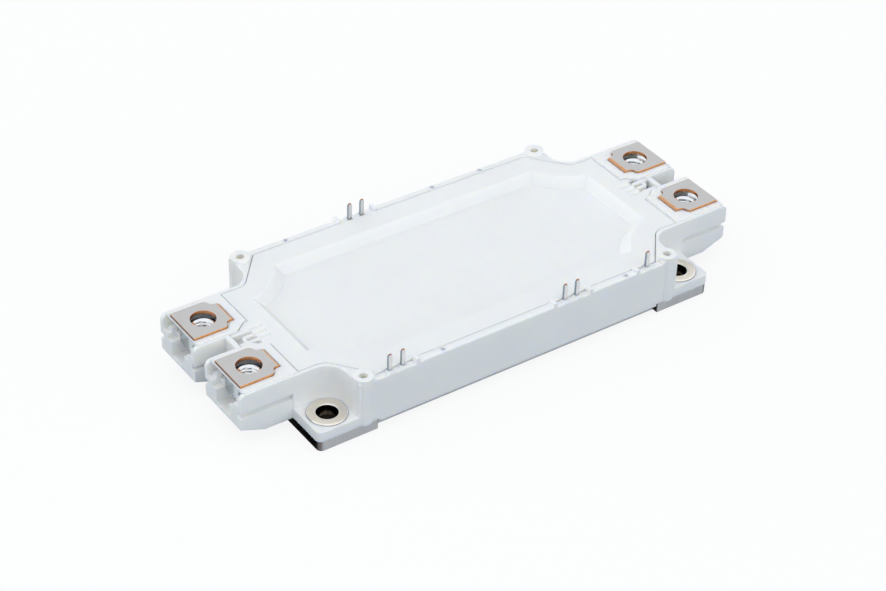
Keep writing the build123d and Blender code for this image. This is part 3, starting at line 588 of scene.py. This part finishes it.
def light_world(level, colour, sides, ends, corners, tilt_x, tilt_y):
    """A dome whose strength is a level plus terms in yy, xx, xy, x and y of the direction."""
    world = bpy.data.worlds.new("studio")
    scene.world = world
    world.use_nodes = True
    tree = world.node_tree

    def calc(kind, a, b):
        node = tree.nodes.new("ShaderNodeMath")
        node.operation = kind
        for socket, value in zip(node.inputs, (a, b)):
            if isinstance(value, float):
                socket.default_value = value
            else:
                tree.links.new(value, socket)
        return node.outputs[0]

    where = tree.nodes.new("ShaderNodeTexCoord")
    split = tree.nodes.new("ShaderNodeSeparateXYZ")
    tree.links.new(where.outputs["Generated"], split.inputs[0])
    x, y = split.outputs["X"], split.outputs["Y"]
    strength = level
    for term, amount in (
        (calc("MULTIPLY", y, y), sides), (calc("MULTIPLY", x, x), ends), (calc("MULTIPLY", x, y), corners),
        (x, tilt_x), (y, tilt_y),
    ):
        strength = calc("ADD", calc("MULTIPLY", term, amount), strength)
    back = tree.nodes["Background"]
    back.inputs["Color"].default_value = (*colour, 1)
    tree.links.new(strength, back.inputs["Strength"])
    white = tree.nodes.new("ShaderNodeBackground")
    white.inputs["Color"].default_value = (1, 1, 1, 1)
    white.inputs["Strength"].default_value = 1
    mix = tree.nodes.new("ShaderNodeMixShader")
    tree.links.new(background_ray(tree), mix.inputs[0])
    tree.links.new(back.outputs[0], mix.inputs[1])
    tree.links.new(white.outputs[0], mix.inputs[2])
    tree.links.new(mix.outputs[0], tree.nodes["World Output"].inputs[0])


def lay_floor(glow):
    """A pale floor: partly its own white to the rays that show it, so that it keeps a soft shadow."""
    material = bpy.data.materials.new("floor")
    material.use_nodes = True
    tree = material.node_tree
    shader = tree.nodes["Principled BSDF"]
    shader.inputs["Roughness"].default_value = 0.9
    shader.inputs["Specular IOR Level"].default_value = 0.0
    grain = tree.nodes.new("ShaderNodeTexNoise")
    grain.inputs["Scale"].default_value = 60
    seen = background_ray(tree)

    def tint(share, low, high):
        node = tree.nodes.new("ShaderNodeMix")
        node.data_type = "RGBA"
        tree.links.new(share, node.inputs[0])
        for socket, value in ((node.inputs[6], low), (node.inputs[7], high)):
            if isinstance(value, tuple):
                socket.default_value = (*value, 1)
            else:
                tree.links.new(value, socket)
        return node.outputs[2]

    bounce = tint(grain.outputs["Fac"], (0.20, 0.26, 0.31), (0.24, 0.30, 0.35))
    pale = tint(grain.outputs["Fac"], (0.95, 0.95, 0.95), (0.97, 0.97, 0.97))
    tree.links.new(tint(seen, bounce, pale), shader.inputs["Base Color"])
    white = tree.nodes.new("ShaderNodeEmission")
    white.inputs["Strength"].default_value = 1
    mix = tree.nodes.new("ShaderNodeMixShader")
    share = tree.nodes.new("ShaderNodeMath")
    share.operation = "MULTIPLY"
    share.inputs[1].default_value = glow
    tree.links.new(seen, share.inputs[0])
    tree.links.new(share.outputs[0], mix.inputs[0])
    tree.links.new(shader.outputs[0], mix.inputs[1])
    tree.links.new(white.outputs[0], mix.inputs[2])
    tree.links.new(mix.outputs[0], tree.nodes["Material Output"].inputs["Surface"])
    below_part = -0.0001
    bpy.ops.mesh.primitive_plane_add(size=8, location=(0, 0, below_part))
    floor = bpy.context.object
    floor.name = "floor"
    floor.data.materials.append(material)


place_camera()
light_world(
    level=0.95, colour=(0.914, 0.957, 1.0),
    sides=0.53, ends=-0.50, corners=-0.90, tilt_x=-0.26, tilt_y=-0.09,
)
lay_floor(glow=0.86)
soft_box("side_box", at=(-0.66, -0.20, 0.60), size=0.6, power=0.4, colour=(0.97, 0.98, 1.0))

WHITE_PLASTIC = (0.92, 0.915, 0.90)
frame_white = moulded_plastic("frame_plastic", WHITE_PLASTIC)
lid_white = moulded_plastic("lid_plastic", WHITE_PLASTIC)
plate = plated_base()
sleeve = turned_nickel()
terminal = plated_terminal()
steel = zinc_steel()
pin = tinned_pin()
copper = bare_copper()
ceramic = white_ceramic()
chip = polished_chip()
wire = drawn_wire()
sensor = dark_ceramic()

# Start of the node's name, its material, and the rounding of its edges in millimetres.
FINISHES = (
    ("baseplate", plate, 0.25), ("housing_frame", frame_white, 0.18), ("lid", lid_white, 0.15),
    ("mounting_sleeve", sleeve, 0.0), ("power_terminal", terminal, 0.07), ("terminal_nut", steel, 0.0),
    ("signal_pin", pin, 0.12), ("lower_foil", copper, 0.0), ("upper_foil", copper, 0.0),
    ("tile_link", copper, 0.05), ("ceramic_tile", ceramic, 0.0), ("diode_chips", chip, 0.0),
    ("bond_wires", wire, 0.0), ("pin_wires", wire, 0.0), ("temperature_sensor", sensor, 0.08),
)
for name in nodes:
    for start, material, edge in FINISHES:
        if name.startswith(start):
            dress(name, material, edge)
for number in range(1, 5):
    add_nut(number, steel)
    add_sleeve(number, sleeve)
ejector_marks(frame_white)
